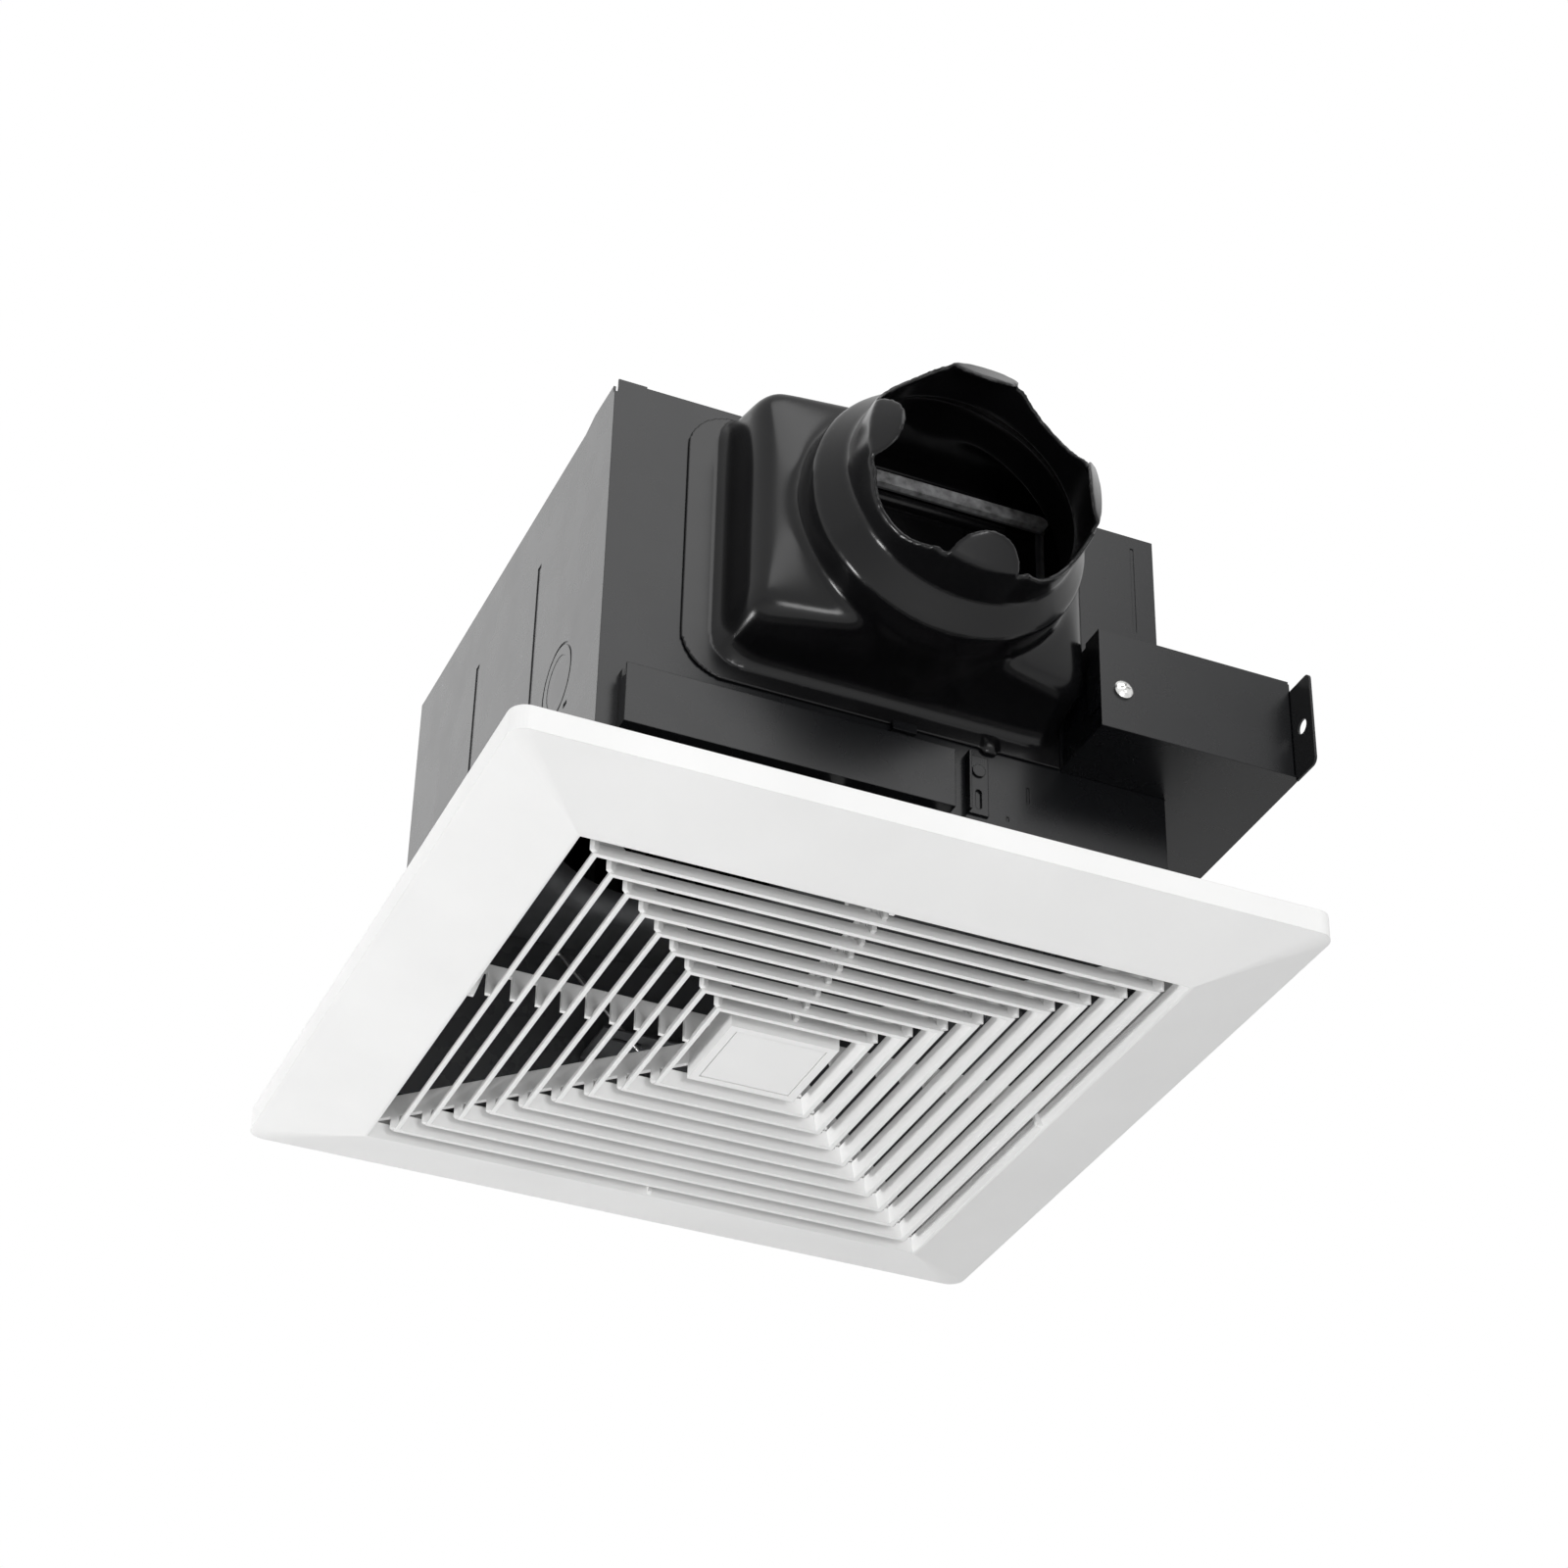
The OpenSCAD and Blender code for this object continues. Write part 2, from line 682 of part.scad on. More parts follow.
module knockout_discs() {
    color("gray") {
        translate([-face + 0.1, knock_y, knock_wall_z]) rotate([0, 90, 0])
            cylinder(r = knock_r - run_gap, h = sheet - 0.2);
        translate([box_wall_x + 0.1, 0, 0]) half_disc(knock_r - run_gap, sheet - 0.2);
    }
}

module housing_lid() {
    z = body_h - 2 * sheet - gap;
    color("dimgray") difference() {
        translate([-inside + gap, -inside + gap, z]) cube([2 * inside - 2 * gap, 2 * inside - 2 * gap, sheet]);
        at_corners(inside - 8, inside - 8) translate([0, 0, z - 1]) cylinder(r = screw_r + run_gap, h = sheet + 2);
    }
}

module lid_screws() {
    color("silver") at_corners(inside - 8, inside - 8) translate([0, 0, body_h - sheet - gap]) dome_screw();
}

// Floor of the scroll with a rounded bell mouth round the air inlet
module inlet_ring() {
    top = scroll_z;
    color("slategray") {
        difference() {
            union() {
                translate([-inside + gap, -inside + gap, top - scroll_wall_t])
                    cube([2 * inside - 2 * gap, 2 * inside - 2 * gap, scroll_wall_t]);
                translate([outlet_l_x, mouth_y, top - scroll_wall_t])
                    cube([outlet_w, 12, scroll_wall_t]);
            }
            translate([wheel_x, wheel_y, top - 3]) cylinder(r = throat_r + bell_r - eps, h = 6);
            at_corners(inside - 8, inside - 8) translate([0, 0, top - 3])
                cylinder(r = screw_r + run_gap, h = 6);
        }
        translate([wheel_x, wheel_y, 0]) rotate_extrude() difference() {
            translate([throat_r + bell_r, top - scroll_wall_t + bell_r]) difference() {
                circle(r = bell_r);
                circle(r = bell_r - scroll_wall_t);
            }
            translate([throat_r + bell_r, 0]) square([40, 200]);
            translate([0, top - scroll_wall_t + bell_r]) square([200, 40]);
        }
    }
}

module inlet_ring_screws() {
    color("silver") at_corners(inside - 8, inside - 8) translate([0, 0, scroll_z - scroll_wall_t])
        mirror([0, 0, 1]) dome_screw();
}

// Point of the scroll at an angle, pushed out by d
function scroll_point(a, d) =
    let (r = tongue_r + growth * (tongue_a - a) + d)
    [wheel_x + r * cos(a), wheel_y + r * sin(a)];

spiral_steps = 60;

module scroll_wall() {
    angles = [for (i = [0:spiral_steps]) tongue_a * (1 - i / spiral_steps)];
    color("slategray") translate([0, 0, scroll_z]) linear_extrude(scroll_h) {
        polygon(concat(
            [for (a = angles) scroll_point(a, 0)],
            [for (i = [spiral_steps:-1:0]) scroll_point(angles[i], scroll_wall_t)]
        ));
        translate([outlet_l_x, mouth_y]) square([scroll_wall_t, tongue_y - mouth_y]);
        translate([outlet_r_x - scroll_wall_t, mouth_y]) square([scroll_wall_t, wheel_y - mouth_y + eps]);
        translate([outlet_l_x + scroll_wall_t / 2, tongue_y]) circle(r = scroll_wall_t);
    }
}

// Sheet over the scroll that carries the motor, with a lip for the foam strip
module motor_plate() {
    z = scroll_top;
    color("slategray") difference() {
        union() {
            translate([-inside + gap, -inside + gap, z])
                cube([2 * inside - 2 * gap, 2 * inside - 2 * gap, scroll_wall_t]);
            translate([outlet_l_x, mouth_y - scroll_wall_t, z]) cube([outlet_w, 12, scroll_wall_t]);
            translate([outlet_l_x, mouth_y - scroll_wall_t, z + scroll_wall_t - foam_h])
                cube([outlet_w, scroll_wall_t, foam_h]);
        }
        for (a = [45:90:315]) translate([wheel_x, wheel_y, z - 1]) rotate([0, 0, a]) translate([motor_r - 7, 0])
            cylinder(r = screw_r + run_gap, h = scroll_wall_t + 2);
        at_corners(inside - 8, inside - 8) translate([0, 0, z - 1])
            cylinder(r = screw_r + run_gap, h = scroll_wall_t + 2);
    }
}

module plate_screws() {
    color("silver") at_corners(inside - 8, inside - 8) translate([0, 0, motor_plate_top]) dome_screw();
}

module motor_case() {
    color("gray") translate([wheel_x, wheel_y, scroll_top - motor_h]) difference() {
        cylinder(r = motor_r, h = motor_h);
        translate([0, 0, -1]) cylinder(r = motor_r - 2, h = motor_h - 3);
        translate([0, 0, motor_h - bearing_h - 5]) cylinder(r = 13, h = bearing_h + 6);
        for (a = [45:90:315]) rotate([0, 0, a]) translate([motor_r - 7, 0, motor_h - 6])
            cylinder(r = screw_r + run_gap, h = 7);
    }
    color("gray") translate([wheel_x, wheel_y, scroll_top - bearing_h - 2]) difference() {
        cylinder(r = 13 + eps, h = bearing_h + 2);
        translate([0, 0, -1]) cylinder(r = bearing_r, h = bearing_h + 1);
        cylinder(r = 6, h = bearing_h + 3);
    }
}

module motor_end_cap() {
    color("gray") translate([wheel_x, wheel_y, scroll_top - motor_h - 2]) difference() {
        union() {
            cylinder(r = motor_r, h = 2 - eps);
            cylinder(r = bearing_r + 2, h = bearing_h + 2);
            difference() {
                cylinder(r = motor_r - 2.1, h = 5);
                translate([0, 0, -1]) cylinder(r = motor_r - 5, h = 8);
            }
        }
        translate([0, 0, 2]) cylinder(r = bearing_r, h = bearing_h + 1);
        translate([0, 0, -1]) cylinder(r = 6, h = bearing_h);
    }
}

module motor_stator() {
    z = scroll_top - motor_h + 6;
    color("saddlebrown") translate([wheel_x, wheel_y, z]) difference() {
        cylinder(r = motor_r - 2.1, h = motor_h - 18);
        translate([0, 0, -1]) cylinder(r = rotor_r + 0.6, h = motor_h);
        for (a = [0:45:315]) rotate([0, 0, a]) translate([rotor_r + 5, -2, -1]) cube([6, 4, motor_h]);
    }
}

module motor_bearings() {
    color("silver") for (z = [scroll_top - motor_h, scroll_top - bearing_h - 2])
        translate([wheel_x, wheel_y, z]) difference() {
            cylinder(r = bearing_r - run_gap / 2, h = bearing_h);
            translate([0, 0, -1]) cylinder(r = shaft_r + run_gap, h = bearing_h + 2);
        }
}

module motor_screws() {
    color("silver") for (a = [45:90:315]) translate([wheel_x, wheel_y, motor_plate_top]) rotate([0, 0, a])
        translate([motor_r - 7, 0]) dome_screw(4);
}

module motor_shaft() {
    low = cup_floor - 12;
    color("silver") translate([wheel_x, wheel_y, low]) cylinder(r = shaft_r, h = scroll_top - 2.5 - low);
}

module motor_rotor() {
    z = scroll_top - motor_h + 9;
    color("dimgray") translate([wheel_x, wheel_y, z]) difference() {
        cylinder(r = rotor_r, h = motor_h - 23);
        translate([0, 0, -1]) cylinder(r = shaft_r, h = motor_h);
    }
}

// Back disc of the wheel with the cup that reaches down round the motor to the shaft
module wheel_cup() {
    cup_r = motor_r + 2.5;
    color("black") translate([wheel_x, wheel_y, 0]) rotate_extrude() {
        translate([cup_r, wheel_top - 2]) square([wheel_r - cup_r, 2]);
        translate([cup_r, cup_floor]) square([2, wheel_top - cup_floor]);
        translate([hub_r, cup_floor]) square([cup_r - hub_r + 1, 2]);
        translate([shaft_r, cup_floor - 8]) square([hub_r - shaft_r, 12]);
    }
}

// Forward-curved blade, concave towards the direction of rotation
module wheel_blade() {
    r = wheel_blade_d * 0.75;
    intersection() {
        translate([wheel_r - wheel_blade_d / 2, -r * 0.75, 0]) difference() {
            circle(r = r, $fn = 40);
            circle(r = r - 0.9, $fn = 40);
        }
        translate([wheel_r - wheel_blade_d, 0]) square([wheel_blade_d - 0.6, wheel_blade_d]);
    }
}

// Cage of blades on the wheel's lower ring
module blower_wheel() {
    color("black") translate([wheel_x, wheel_y, 0]) {
        translate([0, 0, wheel_z + 1]) linear_extrude(wheel_top - wheel_z - 3)
            for (i = [0:wheel_blades_n - 1]) rotate(i * 360 / wheel_blades_n) wheel_blade();
        translate([0, 0, wheel_z]) difference() {
            cylinder(r = wheel_r, h = 2);
            translate([0, 0, -1]) cylinder(r = wheel_r - wheel_blade_d, h = 4);
        }
    }
}

module wheel_nut() {
    color("silver") translate([wheel_x, wheel_y, cup_floor - 8 - 3.5]) difference() {
        cylinder(r = 7, h = 3.5, $fn = 6);
        translate([0, 0, -1]) cylinder(r = shaft_r, h = 6);
    }
}

module capacitor() {
    color("lightgray") translate([cap_x, cap_y, cap_z]) {
        cylinder(r = cap_r, h = cap_l);
        for (s = [-1, 1]) translate([s * 6 - 1, -3, -7]) cube([2, 6, 7 + eps]);
    }
}

module capacitor_clip() {
    color("slategray") translate([cap_x, cap_y, cap_z + 14]) difference() {
        union() {
            cylinder(r = cap_r + 1.5, h = 16);
            translate([0, -9, 0]) cube([inside - cap_x, 18, 16]);
        }
        translate([0, 0, -1]) cylinder(r = cap_r + run_gap, h = 18);
        translate([-cap_r - 3, -5, -1]) cube([cap_r, 10, 18]);
        translate([cap_r + 3, -7, 2]) cube([inside - cap_x - cap_r - 3 - sheet, 14, 12]);
    }
}

// Plate with the port that the flap closes, and two ears for the flap's pin
module damper_frame() {
    l = outlet_l_x + scroll_wall_t + run_gap;
    w = outlet_w - 2 * scroll_wall_t - 2 * run_gap;
    color("black") difference() {
        union() {
            translate([l, frame_y, scroll_z + run_gap]) cube([w, frame_t, scroll_h - 2 * run_gap]);
            for (s = [-1, 1]) translate([collar_x + s * (flap_w / 2 + gap + ear_t / 2) - ear_t / 2, pin_y, pin_z])
                rotate([0, 90, 0]) {
                    cylinder(r = barrel_r, h = ear_t);
                    translate([-barrel_r, 0, 0]) cube([2 * barrel_r, frame_y - pin_y + eps, ear_t]);
                }
        }
        translate([collar_x - port_w / 2, frame_y - 1, port_low]) cube([port_w, frame_t + 2, port_top - port_low]);
        facing_right(collar_x - flap_w / 2 - 10, pin_y, pin_z) cylinder(r = pin_r + run_gap, h = flap_w + 20);
    }
}

module damper_gasket() {
    color("silver") {
        translate([outlet_l_x, mouth_y - scroll_wall_t - foam_t, motor_plate_top - foam_h])
            cube([outlet_w - foam_h / 2, foam_t, foam_h]);
        facing_front(outlet_r_x - foam_h / 2, mouth_y - scroll_wall_t, motor_plate_top - foam_h / 2)
            cylinder(r = foam_h / 2, h = foam_t);
    }
}

module damper_flap() {
    color("black") translate([collar_x - flap_w / 2, pin_y, pin_z]) difference() {
        union() {
            rotate([0, 90, 0]) cylinder(r = barrel_r, h = flap_w);
            translate([0, frame_y - gap - flap_t - pin_y, -flap_h]) cube([flap_w, flap_t, flap_h]);
            for (x = [12, flap_w - 13.5]) translate([x, frame_y - gap - flap_t - pin_y - 2, -flap_h + 8])
                cube([1.5, 2 + eps, flap_h - 12]);
        }
        translate([-1, 0, 0]) rotate([0, 90, 0]) cylinder(r = pin_r, h = flap_w + 2);
    }
}

module damper_pin() {
    l = flap_w + 2 * gap + 2 * ear_t;
    color("silver") facing_right(collar_x - l / 2, pin_y, pin_z) cylinder(r = pin_r, h = l);
}

// Slice of the adapter's hood between two corners of the picture plane, taken in by d all round
module hood_slice(y, x0, x1, z0, z1, r, d) {
    facing_front((x0 + x1) / 2, y, (z0 + z1) / 2) linear_extrude(0.2)
        round_rect(x1 - x0 - 2 * d, z1 - z0 - 2 * d, r - d, $fn = 32);
}

// Hood: a foot, a square body, a smaller front and a low cone from there to the round boss
module hood_solid(d) {
    hull() {
        hood_slice(-face - 1, -hood_l - 3.5, adapter_right, hood_low - 6, hood_top + 1, foot_r, d);
        hood_slice(hood_y + 5, -hood_l, adapter_right, hood_low, hood_top, foot_r, d);
        hood_slice(hood_y + 0.2 + d, -hood_l + 4, adapter_right - 4, hood_low + 4, hood_top - 1, foot_r - 3, d);
        facing_front(collar_x, blend_y + 0.2 + d, collar_z) linear_extrude(0.2) intersection() {
            circle(r = boss_r - 1.5 - d);
            translate([-boss_r, hood_low + 2 - collar_z + d]) square(2 * boss_r);
        }
    }
}

// Flare where the hood meets its flange, on the left and below
module foot_flare() {
    hull() {
        hood_slice(-face - 1, -hood_l - 6.5, adapter_right, hood_low - 9, hood_top + 1, foot_r + 3, 0);
        hood_slice(-face - 2.4, -hood_l - 4.6, adapter_right, hood_low - 7, hood_top + 1, foot_r + 1, 0);
        hood_slice(-face - 4.6, -hood_l - 3, adapter_right, hood_low - 5.2, hood_top + 0.9, foot_r, 0);
    }
}

// Solid of revolution of the round boss, the step and the collar, taken in by d
module round_solid(d) {
    facing_front(collar_x, 0, collar_z) rotate_extrude() polygon([
        [0, face + 3.4 - d], [boss_r - 1 - d, face + 3.4 - d], [boss_r - 1 - d, -shoulder_y - 16],
        [boss_r - d, -shoulder_y - 14], [boss_r - d, -shoulder_y], [collar_r + 1.5 - d, -ring_y],
        [collar_r - d, -ring_y + 1.5], [collar_r - d, -fold_y + 2 * d], [0, -fold_y + 2 * d]
    ]);
}

// Outline of the adapter's flange, round at its two left corners
module flange_plan() {
    h = adapter_high - adapter_low;
    translate([-flange_l + flange_r, adapter_low]) square([flange_l - flange_r + adapter_right, h]);
    translate([-flange_l, adapter_low + flange_r]) square([flange_r + 1, h - 2 * flange_r]);
    for (z = [adapter_low + flange_r, adapter_high - flange_r]) translate([-flange_l + flange_r, z])
        circle(r = flange_r);
}

// Turns its child to angle a about the collar's axis, in the plane of the height y
module round_collar(y, a) {
    translate([collar_x, y, collar_z]) rotate([90, 0, 0]) rotate([0, 0, a]) children();
}

// Tab at angle a, bent over towards the axis; it keeps the collar's curve
module collar_tab(a, bend) {
    rad = (tab_w * tab_w / 4 + tab_l * tab_l) / (2 * tab_l);
    round_collar(fold_y + eps, a) intersection() {
        rotate_extrude() translate([collar_r - tab_step, -tab_step]) rotate(bend) translate([-tab_t, 0])
            square([tab_t, tab_l + 2 * tab_step]);
        translate([collar_r - adapter_wall / 2, 0, 0]) rotate([0, -bend, 0]) translate([0, 0, tab_l - rad])
            rotate([0, 90, 0]) cylinder(r = rad, h = 30, center = true);
        translate([0, -tab_w / 2, -2]) cube([80, tab_w, 40]);
    }
}

module duct_adapter() {
    color("dimgray") {
        difference() {
            union() {
                hood_solid(0);
                foot_flare();
                round_solid(0);
                facing_front(0, -face - eps, 0) linear_extrude(adapter_plate_t - eps) flange_plan();
                translate([39, -face - 3, adapter_low - 2]) cube([6, 3 - eps, 8]);
            }
            hood_solid(adapter_wall);
            round_solid(adapter_wall);
            translate([outlet_l_x - 5, -face - 5, scroll_z - scroll_wall_t - 1])
                cube([outlet_w + 10, 8, scroll_h + 2 * scroll_wall_t + 2]);
            // Shallow scallops midway between the tabs
            for (i = [0:3]) {
                a = (tab_angles[i] + tab_angles[(i + 1) % 4] + (i == 3 ? 360 : 0)) / 2;
                round_collar(fold_y + scallop_d - scallop_r, a) translate([collar_r - 10, 0, 0])
                    rotate([0, 90, 0]) cylinder(r = scallop_r, h = 20);
            }
            // Relief notch at both sides of each tab
            for (a = tab_angles, s = [-1, 1]) round_collar(fold_y + notch_r / 2, a + s * (tab_half + 2.4))
                translate([collar_r - 6, 0, 0]) rotate([0, 90, 0]) cylinder(r = notch_r, h = 12);
        }
        // Hooks that go through slots in the housing and drop behind its wall
        for (x = hook_xs) {
            translate([x - 6, -face - eps, hook_z]) cube([12, sheet + gap + eps, 1.8]);
            translate([x - 6, -inside + gap, hook_z - 4]) cube([12, 1.8, 5.8]);
        }
        for (a = tab_angles) collar_tab(a, a == 90 ? tab_bend_top : tab_bend);
    }
}

// Clip on the front wall that holds the lower edge of the adapter's flange
module adapter_catch() {
    color("gray") difference() {
        union() {
            translate([catch_x - 5, -face - sheet, catch_z - 7]) cube([10, sheet - eps, 7]);
            translate([catch_x - 5, -face - adapter_plate_t - 2 * sheet, catch_z - eps])
                cube([10, adapter_plate_t + 2 * sheet - eps, sheet]);
            translate([catch_x - 5, -face - adapter_plate_t - 2 * sheet, catch_z])
                cube([10, sheet, adapter_low - catch_z + 1.2]);
        }
        facing_front(catch_x, -face + 1, catch_z - 3.6) cylinder(r = screw_r + run_gap, h = 6);
    }
}

// Channel that a hanger rail slides into, open at its right end
module rail_channel() {
    y = -face - rail_d;
    color("gray") difference() {
        union() {
            translate([rail_x, y, rail_z]) cube([rail_len, sheet, rail_h]);
            translate([rail_x, y, rail_z]) cube([rail_len, rail_d - eps, sheet]);
            translate([rail_x, -face - sheet, rail_z]) cube([rail_len, sheet - eps, 10]);
            difference() {
                translate([rail_x, y, rail_z]) cube([sheet, rail_d - eps, rail_h]);
                translate([rail_x - 1, y - 1, rail_z + rail_h - 5]) cube([sheet + 2, 6, 6]);
            }
        }
        for (x = rail_screw_xs) facing_front(x, -face + 1, rail_screw_z) cylinder(r = screw_r + run_gap, h = 6);
    }
}

module rail_strap() {
    color("gray") difference() {
        union() {
            translate([32, -face - sheet, 36]) cube([9.4, sheet - eps, 27]);
            translate([32, -face - 4, 36]) cube([sheet, 4 - eps, 27]);
        }
        translate([37.2, -face - 3, 43]) rotate([90, 0, 0]) rotate([0, 0, 90]) linear_extrude(8, center = true)
            slot(9, 1.3);
        facing_front(strap_x, -face + 1, strap_z) cylinder(r = screw_r + run_gap, h = 6);
    }
}

module wall_rivets() {
    color("silver") {
        facing_front(catch_x, -face - sheet, catch_z - 3.6) rivet();
        for (x = rail_screw_xs) facing_front(x, -face - sheet, rail_screw_z) rivet();
        facing_front(strap_x, -face - sheet, strap_z) rivet();
    }
}

// Blind rivet, head up
module rivet() {
    cylinder(r = screw_r + 0.9, h = 0.8);
    translate([0, 0, -2 * sheet - 1]) cylinder(r = screw_r, h = 2 * sheet + 1 + eps);
    translate([0, 0, -2 * sheet - 1]) cylinder(r = screw_r + 0.5, h = 0.9);
}

// Plan of the wiring box, taken in by d and kept off the housing by w
module box_plan(d, w) {
    difference() {
        translate([jbox_x + d, jbox_y + d]) square([jbox_r_x - jbox_x - 2 * d, jbox_len - 2 * d]);
        translate([-face, -face - w]) square([body_w + w, body_w]);
    }
}

// Outline of the ear in front of the box, round at its two free corners
module ear_plan() {
    r = 3;
    translate([jbox_y - ear_reach + r, ear_z]) square([ear_reach - gap - r, ear_h]);
    translate([jbox_y - ear_reach, ear_z + r]) square([r + 1, ear_h - 2 * r]);
    for (z = [ear_z + r, ear_z + ear_h - r]) translate([jbox_y - ear_reach + r, z]) circle(r = r);
}

module junction_box() {
    color("dimgray") difference() {
        union() {
            // Top wall and side walls, open below and at the front
            translate([0, 0, jbox_z + sheet + gap]) linear_extrude(jbox_h - sheet - gap) difference() {
                box_plan(sheet + gap, 0);
                box_plan(2 * sheet + gap, sheet);
                translate([box_wall_x + sheet, jbox_y - 5])
                    square([jbox_r_x - jbox_x - 4 * sheet - 2 * gap, 10]);
            }
            translate([0, 0, jbox_top - sheet]) linear_extrude(sheet) box_plan(sheet + gap, 0);
            // Right wall runs on in front of the box as the ear for the joist
            translate([jbox_r_x - 2 * sheet - gap, 0, 0]) rotate([90, 0, 90]) linear_extrude(sheet) ear_plan();
            translate([jbox_r_x - 2 * sheet - gap, jbox_y - gap - eps, jbox_z + sheet + gap])
                cube([sheet, 12, ear_z + ear_h - jbox_z - sheet - gap]);
            // Lug for the cover's screw
            translate([cover_x - 6, jbox_y + sheet + gap, cover_z - 6]) cube([12, sheet, 12]);
            translate([jbox_x + sheet + gap, jbox_y + sheet + gap, cover_z - 6])
                cube([cover_x - 5 - jbox_x - sheet - gap, sheet, 12]);
        }
        facing_back(cover_x, jbox_y - 1, cover_z) cylinder(r = screw_r + run_gap, h = 8);
        facing_right(jbox_r_x - 10, jbox_y - ear_reach / 2, ear_z + 21.5) cylinder(r = ear_hole_r, h = 20);
        translate([box_wall_x - 1, 0, 0]) half_disc(knock_r, sheet + 2);
        translate([face - 1, bush_y, bush_z]) rotate([0, 90, 0]) cylinder(r = bush_r, h = 4);
        for (z = [jbox_z + 10, bush_z]) translate([face - 1, bush_y + 14, z]) rotate([0, 90, 0])
            cylinder(r = screw_r + run_gap, h = 4);
        translate([ground_x, jbox_y + 20, jbox_top - 3]) cylinder(r = screw_r + run_gap, h = 6);
        for (x = [10, 24]) translate([block_x + x, jbox_y + 18, jbox_top - 3])
            cylinder(r = screw_r + run_gap, h = 6);
    }
}

// Front and floor of the wiring box in one bent sheet with a short side flange
module junction_cover() {
    color("dimgray") difference() {
        union() {
            translate([0, 0, jbox_z]) linear_extrude(sheet) box_plan(0, gap);
            translate([jbox_x, jbox_y, jbox_z]) cube([jbox_r_x - jbox_x - 2 * sheet - 2 * gap, sheet, jbox_h]);
            translate([jbox_x, jbox_y, lip_low]) cube([sheet, 11, jbox_h + jbox_z - lip_low]);
        }
        facing_back(cover_x, jbox_y - 1, cover_z) cylinder(r = screw_r + run_gap, h = 4);
    }
}

module cover_screw() {
    color("silver") facing_front(cover_x, jbox_y, cover_z) dome_screw();
}

module ground_screw() {
    color("green") translate([ground_x, jbox_y + 20, jbox_top]) dome_screw(8);
}

module terminal_block() {
    color("ivory") translate([block_x, jbox_y + 10, jbox_top - sheet - block_h]) difference() {
        cube([block_w, block_d, block_h - eps]);
        for (x = [4:7:block_w - 6]) {
            translate([x, -1, 3]) cube([4, 6, 5]);
            translate([x + 2, block_d / 2, -1]) cylinder(r = 1.6, h = 4);
        }
        for (x = [10, 24]) translate([x, 8, block_h - 5]) cylinder(r = screw_r + run_gap, h = 6);
    }
}

module terminal_screws() {
    color("silver") for (x = [10, 24]) translate([block_x + x, jbox_y + 18, jbox_top]) dome_screw(5);
}

// Screws that hold the wiring box to the side of the housing
module box_screws() {
    color("silver") for (z = [jbox_z + 10, bush_z]) facing_right(face + sheet, bush_y + 14, z) dome_screw(4);
}

// Soft bush that carries the motor's leads from the housing into the wiring box
module lead_bush() {
    color("black") facing_right(inside, bush_y, bush_z) difference() {
        union() {
            translate([0, 0, -1.5]) cylinder(r = bush_r + 2, h = 1.5);
            translate([0, 0, -eps]) cylinder(r = bush_r - run_gap, h = 2 * sheet + 2 * eps);
            translate([0, 0, 2 * sheet]) cylinder(r = bush_r + 2, h = 1.5);
        }
        translate([0, 0, -3]) cylinder(r = bush_r - 2, h = 12);
    }
}

housing_shell();
housing_lid();
lid_screws();
knockout_discs();
inlet_ring();
inlet_ring_screws();
scroll_wall();
motor_plate();
motor_case();
motor_end_cap();
motor_stator();
motor_bearings();
motor_screws();
capacitor();
capacitor_clip();
damper_frame();
damper_gasket();
duct_adapter();
adapter_catch();
rail_channel();
rail_strap();
wall_rivets();
junction_box();
junction_cover();
cover_screw();
ground_screw();
terminal_block();
terminal_screws();
lead_bush();
spring_brackets();
bracket_rivets();
box_screws();
plate_screws();
motor_shaft();
motor_rotor();
wheel_cup();
blower_wheel();
wheel_nut();
damper_flap();
damper_pin();
grille_panel();
centre_plate();
spring_lugs();
spring_coils();
spring_retainers();
spring_leg_back_left();
spring_leg_back_right();
spring_leg_front_left();
spring_leg_front_right();
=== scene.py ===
# %% [markdown]
# # A ceiling ventilating fan, dressed for the camera
# The fan is a sheet-steel box that hangs above a ceiling, with a white louvred grille below it and a
# black duct adapter at its side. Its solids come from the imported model. This script gives every
# surface its finish, rebuilds the one piece whose soft curves matter, and sets up camera and light.

import json

import bmesh
import bpy
from mathutils import Matrix, Vector


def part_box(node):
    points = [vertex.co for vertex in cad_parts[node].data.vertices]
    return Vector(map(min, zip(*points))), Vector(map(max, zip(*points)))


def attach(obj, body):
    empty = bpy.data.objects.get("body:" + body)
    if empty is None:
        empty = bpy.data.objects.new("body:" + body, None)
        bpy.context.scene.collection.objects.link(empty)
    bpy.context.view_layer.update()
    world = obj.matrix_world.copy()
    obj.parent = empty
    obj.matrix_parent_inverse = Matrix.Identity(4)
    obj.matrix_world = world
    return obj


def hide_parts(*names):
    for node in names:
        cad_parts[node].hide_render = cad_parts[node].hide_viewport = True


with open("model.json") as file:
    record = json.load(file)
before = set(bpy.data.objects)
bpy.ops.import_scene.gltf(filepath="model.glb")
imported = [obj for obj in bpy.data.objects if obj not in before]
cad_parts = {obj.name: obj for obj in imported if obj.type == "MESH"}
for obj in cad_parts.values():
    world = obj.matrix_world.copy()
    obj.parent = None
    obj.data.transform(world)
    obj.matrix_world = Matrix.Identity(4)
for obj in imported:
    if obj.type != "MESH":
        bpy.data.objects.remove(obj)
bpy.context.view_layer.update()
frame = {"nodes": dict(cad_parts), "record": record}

# %% [markdown]
# ## One recipe for all the finishes
# Every finish on the fan is a plain colour that isn't quite even: mouldings have a fine grain, coated
# steel has a slight orange peel, bare zinc has patches. One recipe covers them: a large noise for the
# colour, a second one for the gloss, and a fine one for the relief. The Bevel node rounds the normal
# at sharp edges, so that a folded or moulded edge catches light as the real one does. A sheet that is
# coated thinner on its inner face gets a second pair of tones there, chosen by how far a point lies
# from the housing's middle.


